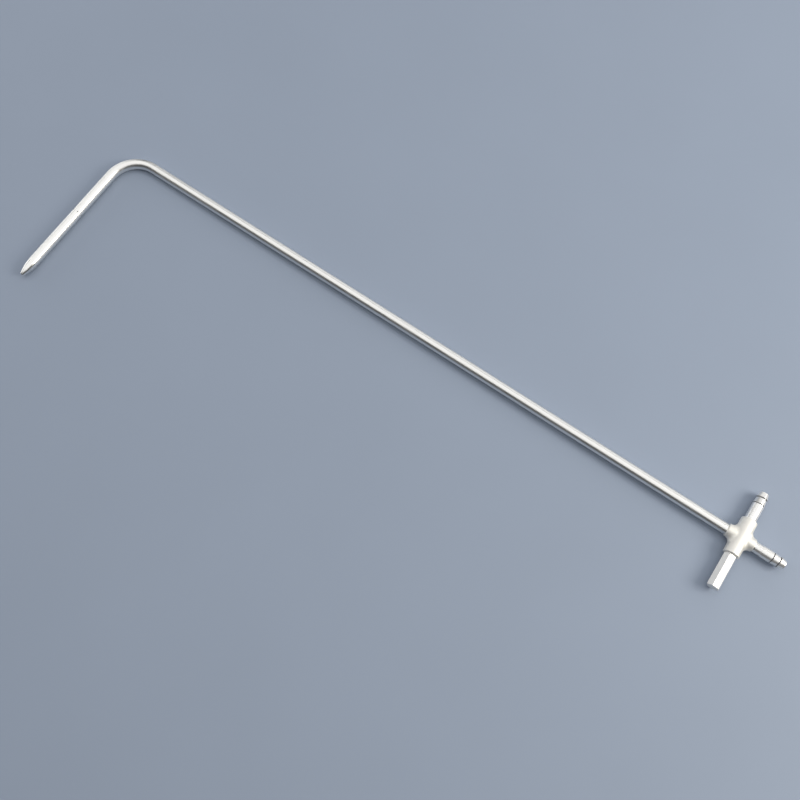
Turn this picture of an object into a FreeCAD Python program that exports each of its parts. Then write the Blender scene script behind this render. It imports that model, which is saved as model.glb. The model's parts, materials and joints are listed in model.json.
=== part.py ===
import FreeCAD, Part

import math
import os

import Sketcher

# An L-shaped pitot-static probe, lying flat.
#
# Every piece is modelled about the corner where the axis of the head meets the axis of the stem:
# the stem runs along +X to the cross body, the head and the handle point along -Y, the static nipple
# points along +Y and the total nipple along +X. A placement then moves every piece so that
# the origin is at the middle of the part's footprint, on the surface it lies on. +Z is up.

SIZES = {
    # the two tubes
    "tube_diameter": 8.0,
    "tube_wall": 1.0,
    "inner_diameter": 4.0,
    "inner_wall": 0.6,
    "bend_radius": 24.0,
    "head_length": 128.0,
    "stem_length": 542.3,
    # the nose
    "nose_length": 12.5,
    "nose_tip_diameter": 2.9,
    "nose_tip_rounding": 0.45,
    "total_hole_diameter": 1.6,
    "nose_spigot_length": 8.0,
    "inner_seat_depth": 5.0,
    # the ring of static holes
    "static_hole_distance": 64.0,
    "static_hole_diameter": 1.0,
    "static_hole_count": 6,
    # the cross body
    "bar_diameter": 11.6,
    "bar_length": 28.5,
    "bar_edge": 0.5,
    "arm_diameter": 9.6,
    "stem_arm_reach": 10.3,
    "total_arm_reach": 10.3,
    "arm_edge": 0.4,
    "gusset_radius": 4.0,
    "stem_socket_depth": 7.0,
    "chamber_diameter": 6.0,
    "web_start": 2.5,
    "web_thickness": 2.5,
    "static_drilling_diameter": 4.0,
    # the two hose nipples
    "hose_diameter": 8.4,
    "nipple_bore": 3.0,
    "nipple_tip_diameter": 6.0,
    "nipple_tip_edge": 0.3,
    "barb_length": 5.0,
    "barb_root_diameter": 7.3,
    "barb_count": 2,
    "barb_relief": 0.7,
    "static_grip_length": 12.9,
    "static_spigot_diameter": 7.0,
    "static_spigot_length": 5.5,
    "total_grip_length": 8.0,
    "total_neck_diameter": 7.8,
    "total_neck_length": 5.7,
    "nipple_seat_depth": 3.0,
    # the handle
    "handle_across_flats": 8.0,
    "handle_length": 26.5,
    "handle_spigot_diameter": 5.0,
    "handle_spigot_length": 6.0,
    "handle_root_edge": 0.8,
    "handle_root_inset": 0.2,
    "handle_end_edge": 0.2,
    # the capillary gap that the braze fills, on the radius, and the space under a spigot
    "braze_gap": 0.03,
    "spigot_gap": 0.3,
}
SHEET = "sizes"

# Sizes that follow from the ones above, as expressions that FreeCAD evaluates.
TUBE_RADIUS = "sizes.tube_diameter / 2"
TUBE_BORE = f"({TUBE_RADIUS} - sizes.tube_wall)"
INNER_RADIUS = "sizes.inner_diameter / 2"
INNER_BORE = f"({INNER_RADIUS} - sizes.inner_wall)"
BAR_END = "sizes.bar_length / 2"
BAR_RADIUS = "sizes.bar_diameter / 2"
BARBS_LENGTH = "sizes.barb_count * sizes.barb_length"
STATIC_REACH = f"({BAR_END} + sizes.static_grip_length + {BARBS_LENGTH})"
TOTAL_REACH = (f"(sizes.total_arm_reach + sizes.total_neck_length + sizes.total_grip_length"
               f" + {BARBS_LENGTH})")
TOTAL_SOCKET = "(sizes.web_start + sizes.web_thickness)"
INNER_END = f"(sizes.stem_length + {TOTAL_SOCKET} + sizes.nipple_seat_depth)"
NOSE_SHOULDER = "(sizes.head_length - sizes.nose_length)"
INNER_START = f"({NOSE_SHOULDER} - sizes.nose_spigot_length + sizes.inner_seat_depth)"
STEM_END = "(sizes.stem_length - sizes.stem_arm_reach + sizes.stem_socket_depth)"

# Where the corner of the two axes lies in the part's own frame.
CORNER = (
    f"-(sizes.stem_length + {TOTAL_REACH} - {TUBE_RADIUS}) / 2",
    f"(sizes.head_length - {STATIC_REACH}) / 2",
    BAR_RADIUS,
)


def make_sheet(document):
    """Put the driving sizes in a spreadsheet, one row each, with the name as the alias."""
    sheet = document.addObject("Spreadsheet::Sheet", SHEET)
    for row, (name, value) in enumerate(SIZES.items(), start=1):
        sheet.set(f"A{row}", name)
        sheet.set(f"B{row}", str(value))
        sheet.setAlias(f"B{row}", name)
    document.recompute()
    return sheet


def evaluate(body, expression):
    """The number that an expression stands for, with units dropped."""
    value = body.evalExpression(expression)
    return float(getattr(value, "Value", value))


def origin_feature(body, role):
    """One of the body's own origin planes or axes."""
    return next(item for item in body.Origin.OriginFeatures if item.Role == role)


def new_body(document, name, offset=("0", "0", "0"), turn=0.0):
    """A body whose zero is the corner of the two axes, moved by offset and turned about Z."""
    body = document.addObject("PartDesign::Body", name)
    body.Label = name
    body.Placement = FreeCAD.Placement(
        FreeCAD.Vector(), FreeCAD.Rotation(FreeCAD.Vector(0, 0, 1), turn))
    for axis, corner, extra in zip("xyz", CORNER, offset):
        body.setExpression(f"Placement.Base.{axis}", f"{corner} + {extra}")
    return body


def new_sketch(body, name, role="XY_Plane"):
    """A sketch on one of the body's own planes."""
    sketch = body.newObject("Sketcher::SketchObject", name)
    sketch.AttachmentSupport = (origin_feature(body, role), [""])
    sketch.MapMode = "FlatFace"
    return sketch


def bind(sketch, kind, geometry, position, expression):
    """Hold one coordinate of a point at an expression's value, measured from the origin."""
    value = evaluate(sketch, expression)
    index = sketch.addConstraint(Sketcher.Constraint(kind, -1, 1, geometry, position, value))
    sketch.setExpression(f"Constraints[{index}]", expression)


def bind_radius(sketch, circle, expression):
    """Hold a circle's radius at an expression's value."""
    index = sketch.addConstraint(
        Sketcher.Constraint("Radius", circle, evaluate(sketch, expression)))
    sketch.setExpression(f"Constraints[{index}]", expression)


def add_outline(sketch, points):
    """Draw a closed outline of straight lines through points given as pairs of expressions."""
    places = [FreeCAD.Vector(evaluate(sketch, x), evaluate(sketch, y), 0) for x, y in points]
    lines = []
    for start, end in zip(places, places[1:] + places[:1]):
        lines.append(sketch.addGeometry(Part.LineSegment(start, end), False))
    for line, following in zip(lines, lines[1:] + lines[:1]):
        sketch.addConstraint(Sketcher.Constraint("Coincident", line, 2, following, 1))
    for line, (x, y) in zip(lines, points):
        bind(sketch, "DistanceX", line, 1, x)
        bind(sketch, "DistanceY", line, 1, y)
    return lines


def add_circle(sketch, x, y, radius):
    """Draw a circle with its centre and radius given as expressions."""
    centre = FreeCAD.Vector(evaluate(sketch, x), evaluate(sketch, y), 0)
    circle = sketch.addGeometry(
        Part.Circle(centre, FreeCAD.Vector(0, 0, 1), evaluate(sketch, radius)), False)
    bind(sketch, "DistanceX", circle, 3, x)
    bind(sketch, "DistanceY", circle, 3, y)
    bind_radius(sketch, circle, radius)
    return circle


def turn_about(body, name, kind, points, axis):
    """Turn an outline once about the body's X or Y axis, as a Revolution or a Groove."""
    sketch = new_sketch(body, f"{name}_profile")
    add_outline(sketch, points)
    feature = body.newObject(f"PartDesign::{kind}", name)
    feature.Profile = sketch
    feature.ReferenceAxis = (origin_feature(body, f"{axis}_Axis"), [""])
    feature.Angle = 360
    body.Document.recompute()
    return feature


def edges_where(body, test):
    """Names of the edges of the body's latest shape that pass a test."""
    edges = body.Tip.Shape.Edges
    return [f"Edge{number}" for number, edge in enumerate(edges, start=1) if test(edge)]


def is_circle_at(edge, axis, place, radius):
    """Whether an edge is a circle of this radius, square to an axis, at this place on it."""
    curve = edge.Curve
    if not isinstance(curve, Part.Circle):
        return False
    centre = getattr(curve.Center, axis)
    direction = abs(getattr(curve.Axis, axis))
    near = abs(centre - place) < 1e-4 and abs(curve.Radius - radius) < 1e-4
    return near and direction > 0.999


def dress_edges(body, kind, name, edges, size):
    """Chamfer or fillet some edges by an expression's size."""
    if not edges:
        raise ValueError(f"{name}: no edge found")
    base = body.Tip
    feature = body.newObject(f"PartDesign::{kind}", name)
    feature.Base = (base, edges)
    feature.setExpression("Size" if kind == "Chamfer" else "Radius", size)
    body.Document.recompute()
    return feature


def bent_tube(document, name, radius, bore, head_end, stem_end):
    """A tube that runs from the head, round the bend, along the stem."""
    body = new_body(document, name)
    path = new_sketch(body, f"{name}_path")
    bend = "sizes.bend_radius"
    bend_value = evaluate(path, bend)
    head_value = evaluate(path, head_end)
    stem_value = evaluate(path, stem_end)
    head = path.addGeometry(Part.LineSegment(
        FreeCAD.Vector(0, -head_value, 0), FreeCAD.Vector(0, -bend_value, 0)), False)
    arc = path.addGeometry(Part.ArcOfCircle(
        Part.Circle(FreeCAD.Vector(bend_value, -bend_value, 0), FreeCAD.Vector(0, 0, 1), bend_value),
        math.pi / 2, math.pi), False)
    stem = path.addGeometry(Part.LineSegment(
        FreeCAD.Vector(bend_value, 0, 0), FreeCAD.Vector(stem_value, 0, 0)), False)
    path.addConstraint(Sketcher.Constraint("Coincident", head, 2, arc, 2))
    path.addConstraint(Sketcher.Constraint("Coincident", arc, 1, stem, 1))
    bind(path, "DistanceX", head, 1, "0")
    bind(path, "DistanceY", head, 1, f"-{head_end}")
    bind(path, "DistanceX", head, 2, "0")
    bind(path, "DistanceY", head, 2, f"-{bend}")
    bind(path, "DistanceX", stem, 1, bend)
    bind(path, "DistanceY", stem, 1, "0")
    bind(path, "DistanceX", stem, 2, stem_end)
    bind(path, "DistanceY", stem, 2, "0")
    bind_radius(path, arc, bend)

    section = new_sketch(body, f"{name}_section", "XZ_Plane")
    section.setExpression(".AttachmentOffset.Base.z", head_end)
    add_circle(section, "0", "0", radius)
    add_circle(section, "0", "0", bore)
    document.recompute()

    pipe = body.newObject("PartDesign::AdditivePipe", f"{name}_pipe")
    pipe.Profile = section
    pipe.Spine = path
    document.recompute()
    return body


def make_outer_tube(document):
    """The drawn tube of head, bend and stem, with its ring of static holes."""
    body = bent_tube(document, "outer_tube", TUBE_RADIUS, TUBE_BORE, NOSE_SHOULDER, STEM_END)
    sketch = new_sketch(body, "static_hole_profile", "YZ_Plane")
    add_circle(sketch, "sizes.static_hole_distance - sizes.head_length", "0",
               "sizes.static_hole_diameter / 2")
    hole = body.newObject("PartDesign::Pocket", "static_hole")
    hole.Profile = sketch
    hole.setExpression("Length", "sizes.tube_diameter")
    hole.Reversed = True
    document.recompute()
    ring = body.newObject("PartDesign::PolarPattern", "static_hole_ring")
    ring.Originals = [hole]
    ring.Axis = (origin_feature(body, "Y_Axis"), [""])
    ring.Angle = 360
    ring.setExpression("Occurrences", "sizes.static_hole_count")
    body.Tip = ring
    document.recompute()
    return body


def make_inner_tube(document):
    """The drawn tube that carries the total pressure, from the nose to the total nipple."""
    return bent_tube(document, "inner_tube", INNER_RADIUS, INNER_BORE, INNER_START, INNER_END)


def make_nose_cone(document):
    """The turned nose: an ogive that is tangent to the tube, a total hole and a spigot."""
    body = new_body(document, "nose_cone", ("0", f"-{NOSE_SHOULDER}", "0"))
    drop = f"({TUBE_RADIUS} - sizes.nose_tip_diameter / 2)"
    ogive = f"(sizes.nose_length * sizes.nose_length + {drop} * {drop}) / (2 * {drop})"
    spigot = f"({TUBE_BORE} - sizes.braze_gap)"
    seat = f"({INNER_RADIUS} + sizes.braze_gap)"
    seat_end = "(sizes.nose_spigot_length - sizes.inner_seat_depth)"
    hole = "sizes.total_hole_diameter / 2"
    points = [
        ("sizes.nose_tip_diameter / 2", "-sizes.nose_length"),
        (TUBE_RADIUS, "0"),
        (spigot, "0"),
        (spigot, "sizes.nose_spigot_length"),
        (seat, "sizes.nose_spigot_length"),
        (seat, seat_end),
        (hole, seat_end),
        (hole, "-sizes.nose_length"),
    ]
    sketch = new_sketch(body, "nose_profile")
    places = [FreeCAD.Vector(evaluate(sketch, x), evaluate(sketch, y), 0) for x, y in points]
    ogive_value = evaluate(sketch, ogive)
    centre = FreeCAD.Vector(evaluate(sketch, TUBE_RADIUS) - ogive_value, 0, 0)
    tip_angle = math.atan2(places[0].y - centre.y, places[0].x - centre.x)
    arc = sketch.addGeometry(Part.ArcOfCircle(
        Part.Circle(centre, FreeCAD.Vector(0, 0, 1), ogive_value), tip_angle, 0), False)
    lines = []
    ring = places[1:] + places[:1]
    for start, end in zip(ring, ring[1:]):
        lines.append(sketch.addGeometry(Part.LineSegment(start, end), False))
    sketch.addConstraint(Sketcher.Constraint("Coincident", arc, 2, lines[0], 1))
    for line, following in zip(lines, lines[1:]):
        sketch.addConstraint(Sketcher.Constraint("Coincident", line, 2, following, 1))
    sketch.addConstraint(Sketcher.Constraint("Coincident", lines[-1], 2, arc, 1))
    for line, (x, y) in zip(lines, points[1:]):
        bind(sketch, "DistanceX", line, 1, x)
        bind(sketch, "DistanceY", line, 1, y)
    bind(sketch, "DistanceX", arc, 3, f"{TUBE_RADIUS} - {ogive}")
    bind(sketch, "DistanceY", arc, 3, "0")
    bind(sketch, "DistanceY", arc, 1, "-sizes.nose_length")
    turned = body.newObject("PartDesign::Revolution", "nose_turning")
    turned.Profile = sketch
    turned.ReferenceAxis = (origin_feature(body, "Y_Axis"), [""])
    turned.Angle = 360
    document.recompute()
    tip_place = evaluate(body, "-sizes.nose_length")
    tip_radius = evaluate(body, "sizes.nose_tip_diameter / 2")
    edges = edges_where(body, lambda edge: is_circle_at(edge, "y", tip_place, tip_radius))
    dress_edges(body, "Fillet", "nose_tip_rounding", edges, "sizes.nose_tip_rounding")
    return body


def pad_circle(body, name, role, radius, start, end):
    """Pad a circle along a plane's normal from one expression's place to another's.

    The sketch is turned by a quarter, so that the cylinder's seam lies clear of the gussets.
    """
    sketch = new_sketch(body, f"{name}_profile", role)
    sketch.AttachmentOffset = FreeCAD.Placement(
        FreeCAD.Vector(), FreeCAD.Rotation(FreeCAD.Vector(0, 0, 1), 90))
    sketch.setExpression(".AttachmentOffset.Base.z", start)
    add_circle(sketch, "0", "0", radius)
    pad = body.newObject("PartDesign::Pad", name)
    pad.Profile = sketch
    pad.setExpression("Length", f"{end} - ({start})")
    body.Document.recompute()
    return pad


def make_cross_body(document):
    """The cast cross: a round bar and two arms joined by gussets, bored from three sides."""
    body = new_body(document, "cross_body", ("sizes.stem_length", "0", "0"))
    pad_circle(body, "bar", "XZ_Plane", BAR_RADIUS, f"-{BAR_END}", BAR_END)
    pad_circle(body, "arms", "YZ_Plane", "sizes.arm_diameter / 2", "-sizes.stem_arm_reach",
               "sizes.total_arm_reach")
    gussets = edges_where(
        body, lambda edge: not isinstance(edge.Curve, (Part.Line, Part.LineSegment, Part.Circle)))
    dress_edges(body, "Fillet", "gussets", gussets, "sizes.gusset_radius")

    bar_end = evaluate(body, BAR_END)
    bar_radius = evaluate(body, BAR_RADIUS)
    rims = edges_where(body, lambda edge: any(
        is_circle_at(edge, "y", end, bar_radius) for end in (-bar_end, bar_end)))
    dress_edges(body, "Chamfer", "bar_edges", rims, "sizes.bar_edge")
    arm_radius = evaluate(body, "sizes.arm_diameter / 2")
    arm_ends = (evaluate(body, "-sizes.stem_arm_reach"), evaluate(body, "sizes.total_arm_reach"))
    rims = edges_where(body, lambda edge: any(
        is_circle_at(edge, "x", end, arm_radius) for end in arm_ends))
    dress_edges(body, "Chamfer", "arm_edges", rims, "sizes.arm_edge")

    stem_mouth = "-sizes.stem_arm_reach"
    stem_stop = "(sizes.stem_socket_depth - sizes.stem_arm_reach)"
    stem_socket = f"({TUBE_RADIUS} + sizes.braze_gap)"
    web_bore = f"({INNER_RADIUS} + sizes.braze_gap)"
    neck_socket = "(sizes.total_neck_diameter / 2 + sizes.braze_gap)"
    turn_about(body, "line_bores", "Groove", [
        (stem_mouth, "0"),
        (stem_mouth, stem_socket),
        (stem_stop, stem_socket),
        (stem_stop, "sizes.chamber_diameter / 2"),
        ("sizes.web_start", "sizes.chamber_diameter / 2"),
        ("sizes.web_start", web_bore),
        (TOTAL_SOCKET, web_bore),
        (TOTAL_SOCKET, neck_socket),
        ("sizes.total_arm_reach", neck_socket),
        ("sizes.total_arm_reach", "0"),
    ], "X")
    static_stop = f"({BAR_END} - sizes.static_spigot_length - sizes.spigot_gap)"
    static_socket = "(sizes.static_spigot_diameter / 2 + sizes.braze_gap)"
    turn_about(body, "static_branch", "Groove", [
        ("0", "0"),
        ("sizes.static_drilling_diameter / 2", "0"),
        ("sizes.static_drilling_diameter / 2", static_stop),
        (static_socket, static_stop),
        (static_socket, BAR_END),
        ("0", BAR_END),
    ], "Y")
    handle_stop = f"(sizes.handle_spigot_length + sizes.spigot_gap - {BAR_END})"
    handle_socket = "(sizes.handle_spigot_diameter / 2 + sizes.braze_gap)"
    turn_about(body, "handle_socket", "Groove", [
        ("0", f"-{BAR_END}"),
        (handle_socket, f"-{BAR_END}"),
        (handle_socket, handle_stop),
        ("0", handle_stop),
    ], "Y")
    return body


def make_nipple(document, name, turn, inner_points, bore_points, grip_end):
    """A turned hose nipple along X, given in expressions measured from the middle of the cross.

    inner_points run along the outside from the inner mouth to the shoulder under the hose grip,
    grip_end is where the grip ends and the barbs start, and bore_points run back down the bore.
    """
    body = new_body(document, name, ("sizes.stem_length", "0", "0"), turn)
    crest = "sizes.hose_diameter / 2"
    root = "sizes.barb_root_diameter / 2"
    tip = "sizes.nipple_tip_diameter / 2"
    reach = f"({grip_end} + {BARBS_LENGTH})"
    points = [*inner_points, (grip_end, crest), (grip_end, root)]
    barbs = int(evaluate(body, "sizes.barb_count"))
    for number in range(barbs):
        step = f"({grip_end} + {number} * sizes.barb_length + sizes.barb_relief)"
        end = f"({grip_end} + {number + 1} * sizes.barb_length)"
        points.append((step, root))
        points.append((step, crest))
        points.append((end, root if number + 1 < barbs else tip))
    points.append((reach, "sizes.nipple_bore / 2"))
    points.extend(bore_points)
    turn_about(body, f"{name}_turning", "Revolution", points, "X")
    tip_place = evaluate(body, reach)
    tip_radius = evaluate(body, tip)
    rim = edges_where(body, lambda edge: is_circle_at(edge, "x", tip_place, tip_radius))
    dress_edges(body, "Chamfer", f"{name}_tip_edge", rim, "sizes.nipple_tip_edge")
    return body


def make_static_nipple(document):
    """The side nipple, on a spigot that enters the bar, with its shoulder on the bar's end."""
    crest = "sizes.hose_diameter / 2"
    spigot = "sizes.static_spigot_diameter / 2"
    mouth = f"({BAR_END} - sizes.static_spigot_length)"
    return make_nipple(
        document, "static_nipple", 90,
        [(mouth, spigot), (BAR_END, spigot), (BAR_END, crest)],
        [(mouth, "sizes.nipple_bore / 2")],
        f"({BAR_END} + sizes.static_grip_length)")


def make_total_nipple(document):
    """The nipple in line with the stem, on a neck that enters the arm and holds the inner tube."""
    crest = "sizes.hose_diameter / 2"
    neck = "sizes.total_neck_diameter / 2"
    shoulder = "(sizes.total_arm_reach + sizes.total_neck_length)"
    seat = f"({INNER_RADIUS} + sizes.braze_gap)"
    seat_end = f"({TOTAL_SOCKET} + sizes.nipple_seat_depth)"
    return make_nipple(
        document, "total_nipple", 0,
        [(TOTAL_SOCKET, neck), (shoulder, neck), (shoulder, crest)],
        [(seat_end, "sizes.nipple_bore / 2"), (seat_end, seat), (TOTAL_SOCKET, seat)],
        f"({shoulder} + sizes.total_grip_length)")


def make_direction_handle(document):
    """The hexagonal bar that points the way the nose points, on a turned spigot."""
    body = new_body(document, "direction_handle", ("sizes.stem_length", f"-{BAR_END}", "0"))
    half = "sizes.handle_across_flats / 2"
    corner = "sizes.handle_across_flats / sqrt(3)"
    sketch = new_sketch(body, "hexagon", "XZ_Plane")
    add_outline(sketch, [
        (corner, "0"),
        (f"{corner} / 2", half),
        (f"-{corner} / 2", half),
        (f"-{corner}", "0"),
        (f"-{corner} / 2", f"-{half}"),
        (f"{corner} / 2", f"-{half}"),
    ])
    bar = body.newObject("PartDesign::Pad", "hexagonal_bar")
    bar.Profile = sketch
    bar.setExpression("Length", "sizes.handle_length")
    document.recompute()
    turn_about(body, "root_chamfer", "Groove", [
        (f"{half} - sizes.handle_root_inset", "0"),
        (corner, "0"),
        (corner, "-sizes.handle_root_edge"),
    ], "Y")
    far_end = evaluate(body, "-sizes.handle_length")
    rim = edges_where(body, lambda edge: all(
        abs(vertex.Point.y - far_end) < 1e-4 for vertex in edge.Vertexes))
    dress_edges(body, "Chamfer", "end_chamfer", rim, "sizes.handle_end_edge")
    spigot = new_sketch(body, "spigot_profile", "XZ_Plane")
    add_circle(spigot, "0", "0", "sizes.handle_spigot_diameter / 2")
    peg = body.newObject("PartDesign::Pad", "spigot")
    peg.Profile = spigot
    peg.setExpression("Length", "sizes.handle_spigot_length")
    peg.Reversed = True
    document.recompute()
    return body


def check(document, bodies):
    """Stop if any object failed to build, or a piece isn't one valid solid."""
    for item in document.Objects:
        if "Invalid" in item.State or "Error" in item.State:
            raise RuntimeError(f"{item.Label} failed: {item.State}")
    for body in bodies:
        shape = body.Shape
        if shape.isNull() or not shape.isValid() or len(shape.Solids) != 1:
            raise RuntimeError(f"{body.Label} isn't one valid solid")


def main():
    document = FreeCAD.newDocument("pitot_tube")
    make_sheet(document)
    bodies = [
        make_outer_tube(document),
        make_inner_tube(document),
        make_nose_cone(document),
        make_cross_body(document),
        make_direction_handle(document),
        make_static_nipple(document),
        make_total_nipple(document),
    ]
    document.recompute()
    check(document, bodies)
    os.makedirs("parts", exist_ok=True)
    for body in bodies:
        body.Shape.exportStep(f"parts/{body.Label}.step")
        print(f"{body.Label}: {body.Shape.Volume:.1f} mm3")


main()
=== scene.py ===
"""Looks of an L-shaped pitot-static tube that lies on a table.

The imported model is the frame. The pieces that show are made again here as fine meshes in the same
place, and every piece gets its own metal finish.
"""

import json
import logging
import math
from collections.abc import Sequence
from dataclasses import dataclass, field, replace
from enum import Enum

import bmesh
import bpy
from mathutils import Matrix, Vector


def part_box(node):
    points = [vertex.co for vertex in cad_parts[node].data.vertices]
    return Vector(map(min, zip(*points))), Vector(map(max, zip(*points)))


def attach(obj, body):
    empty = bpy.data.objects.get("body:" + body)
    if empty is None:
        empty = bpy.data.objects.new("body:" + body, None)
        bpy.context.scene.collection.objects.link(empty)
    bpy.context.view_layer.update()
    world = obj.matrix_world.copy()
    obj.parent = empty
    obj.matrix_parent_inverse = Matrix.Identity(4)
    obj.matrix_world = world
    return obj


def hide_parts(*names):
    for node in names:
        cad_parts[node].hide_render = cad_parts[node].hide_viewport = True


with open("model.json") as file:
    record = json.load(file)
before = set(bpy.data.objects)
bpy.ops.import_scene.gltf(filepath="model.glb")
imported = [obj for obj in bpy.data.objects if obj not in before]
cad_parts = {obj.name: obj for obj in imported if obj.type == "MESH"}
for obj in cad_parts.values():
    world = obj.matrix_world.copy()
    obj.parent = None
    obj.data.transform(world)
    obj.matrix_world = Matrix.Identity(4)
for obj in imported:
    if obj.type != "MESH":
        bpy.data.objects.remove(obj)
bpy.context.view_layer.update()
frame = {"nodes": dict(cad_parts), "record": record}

LOG = logging.getLogger("pitot_tube")
MM = 0.001
QUARTER = math.pi / 2
BODY = "root"
Triple = tuple[float, float, float]
Profile = list[tuple[float, float]]

# Points nearer than this are one point, in metres: in a profile, a turned piece and a CAD mesh.
SAME_POINT = 1e-9
TURNED_WELD = 1e-7
CAD_WELD = 1e-6
# Edges sharper than these stay crisp, and faces flatter than the last are joined, in degrees.
TURNED_CREASE = 28.0
HANDLE_CREASE = 25.0
FLAT_ANGLE = 0.05
# The most of a profile's side that one rounding takes, so that two of them never meet.
ROUNDING_SHARE = 0.45
# How far the cross body's arms reach from its middle, and the neck that enters one of them.
ARM_REACH = 10.3 * MM
NECK_RADIUS = 3.9 * MM
# The Trim Curve node's sockets for lengths, which share their names with those for factors.
TRIM_START = 4
TRIM_END = 5
# How squarely a face of the tube faces away from the centreline before it is a round wall.
WALL_FACING = 0.8


# ---------------------------------------------------------------------------------------------
# Where things are
# ---------------------------------------------------------------------------------------------


class Axis(Enum):
    """The way a turned piece points, as the turn about Z that brings +X to it."""

    ALONG_STEM = 0.0
    TO_STATIC_SIDE = 90.0
    TO_NOSE = -90.0


def mount(name: str) -> tuple[Vector, float]:
    """The place and the grip length of one of the record's nipple mounts.

    Args:
        name: The mount's name.

    Returns:
        Its place in the row frame and its length, in metres.
    """
    row = next(row for row in frame["record"]["mounts"] if row["name"] == name)
    return Vector(row["pos_m"]), row["dims"]["length_mm"] * MM


@dataclass(frozen=True)
class Layout:
    """The places that the pieces share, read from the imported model."""

    corner: Vector
    cross: Vector
    tip_y: float
    shoulder_y: float
    stem_end_x: float
    tube_radius: float

    @classmethod
    def from_frame(cls) -> "Layout":
        """Reads the layout from the CAD boxes and the mounts.

        Returns:
            The layout, in metres.
        """
        nose_low, nose_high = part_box("nose_cone")
        tube_low, tube_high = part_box("outer_tube")
        stem = mount("total_port")[0]
        head_x = (nose_low.x + nose_high.x) / 2
        return cls(
            corner=Vector((head_x, stem.y, stem.z)),
            cross=Vector((mount("static_port")[0].x, stem.y, stem.z)),
            tip_y=nose_low.y,
            shoulder_y=tube_low.y,
            stem_end_x=tube_high.x,
            tube_radius=(nose_high.x - nose_low.x) / 2,
        )


# ---------------------------------------------------------------------------------------------
# Mesh helpers
# ---------------------------------------------------------------------------------------------


def add_object(name: str, data: bpy.types.ID) -> bpy.types.Object:
    """Puts a mesh, a curve, a lamp or a camera in the scene at the origin.

    Args:
        name: The new object's name.
        data: Its data.

    Returns:
        The new object.
    """
    item = bpy.data.objects.new(name, data)
    bpy.context.scene.collection.objects.link(item)
    return item


def object_from(shape: bmesh.types.BMesh, name: str) -> bpy.types.Object:
    """Turns an edited shape into an object, with its faces pointing outwards.

    Args:
        shape: The shape, which is freed.
        name: The new object's name.

    Returns:
        The new object.
    """
    bmesh.ops.recalc_face_normals(shape, faces=shape.faces)
    mesh = bpy.data.meshes.new(name)
    shape.to_mesh(mesh)
    shape.free()
    return add_object(name, mesh)


def rounded(corners: Sequence[tuple[float, float, float]], steps: int = 5) -> Profile:
    """Rounds the corners of an open or closed profile.

    Args:
        corners: Points as (along, radius, rounding). A rounding of 0 keeps the corner sharp.
        steps: How many segments each rounding has.

    Returns:
        The profile's points, with each rounded corner as an arc.
    """
    points: Profile = []
    count = len(corners)
    for index, (along, radius, rounding) in enumerate(corners):
        here = Vector((along, radius))
        before = Vector(corners[index - 1][:2]) - here
        after = Vector(corners[(index + 1) % count][:2]) - here
        if rounding <= 0 or min(before.length, after.length) < SAME_POINT:
            points.append((along, radius))
            continue
        half = before.angle(after) / 2
        reach = min(rounding / math.tan(half), before.length * ROUNDING_SHARE,
                    after.length * ROUNDING_SHARE)
        start = here + before.normalized() * reach
        end = here + after.normalized() * reach
        size = reach * math.tan(half)
        centre = here + (before.normalized() + after.normalized()).normalized() * (
            size / math.sin(half))
        first, last = start - centre, end - centre
        sweep = first.angle_signed(last)
        for step in range(steps + 1):
            turn = Matrix.Rotation(-sweep * step / steps, 2)
            place = centre + turn @ first
            points.append((place.x, place.y))
    return points


def lathe(name: str, profile: Profile, origin: Vector, axis: Axis,
          around: int = 96) -> bpy.types.Object:
    """Turns a closed profile into a solid of revolution.

    Args:
        name: The new object's name.
        profile: A closed half section as (along, radius) points, all off the axis.
        origin: Where the profile's zero lies.
        axis: The way the profile points.
        around: How many segments the circle has.

    Returns:
        The turned piece.
    """
    shape = bmesh.new()
    turn = Matrix.Rotation(math.radians(axis.value), 3, "Z")
    rings = []
    for along, radius in profile:
        ring = []
        for step in range(around):
            angle = math.tau * step / around
            place = Vector((along, radius * math.cos(angle), radius * math.sin(angle)))
            ring.append(shape.verts.new(origin + turn @ place))
        rings.append(ring)
    for ring, following in zip(rings, rings[1:] + rings[:1]):
        for step in range(around):
            other = (step + 1) % around
            shape.faces.new((ring[step], following[step], following[other], ring[other]))
    bmesh.ops.remove_doubles(shape, verts=shape.verts, dist=TURNED_WELD)
    return smooth_by_angle(object_from(shape, name), TURNED_CREASE)


def smooth_by_angle(item: bpy.types.Object, degrees: float) -> bpy.types.Object:
    """Shades a piece smooth, apart from the edges sharper than an angle.

    Args:
        item: The piece.
        degrees: The angle past which an edge stays crisp.

    Returns:
        The same piece.
    """
    item.data.shade_smooth()
    item.data.set_sharp_from_angle(angle=math.radians(degrees))
    weighted = item.modifiers.new("weighted_normals", "WEIGHTED_NORMAL")
    weighted.keep_sharp = True
    return item


def merged_copy(node: str, name: str) -> bpy.types.Object:
    """Copies a CAD node's mesh, with its loose triangles joined.

    Args:
        node: The CAD node.
        name: The copy's name.

    Returns:
        The copy, at the origin.
    """
    shape = bmesh.new()
    shape.from_mesh(frame["nodes"][node].data)
    bmesh.ops.remove_doubles(shape, verts=shape.verts, dist=CAD_WELD)
    bmesh.ops.dissolve_limit(
        shape, angle_limit=math.radians(FLAT_ANGLE), verts=shape.verts, edges=shape.edges)
    return object_from(shape, name)


def finish_piece(item: bpy.types.Object, material: bpy.types.Material | None, slot: str,
                 *nodes: str) -> None:
    """Dresses a piece and ties it to the frame.

    Args:
        item: The piece.
        material: Its material, or None where it has its materials already.
        slot: The record's material slot for the piece; not used.
        nodes: The CAD nodes that it stands for, if any.
    """
    if material is not None:
        item.data.materials.clear()
        item.data.materials.append(material)
    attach(item, BODY)
    if nodes:
        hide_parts(*nodes)
    LOG.info("%s: %d faces", item.name, len(item.data.polygons))


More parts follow.
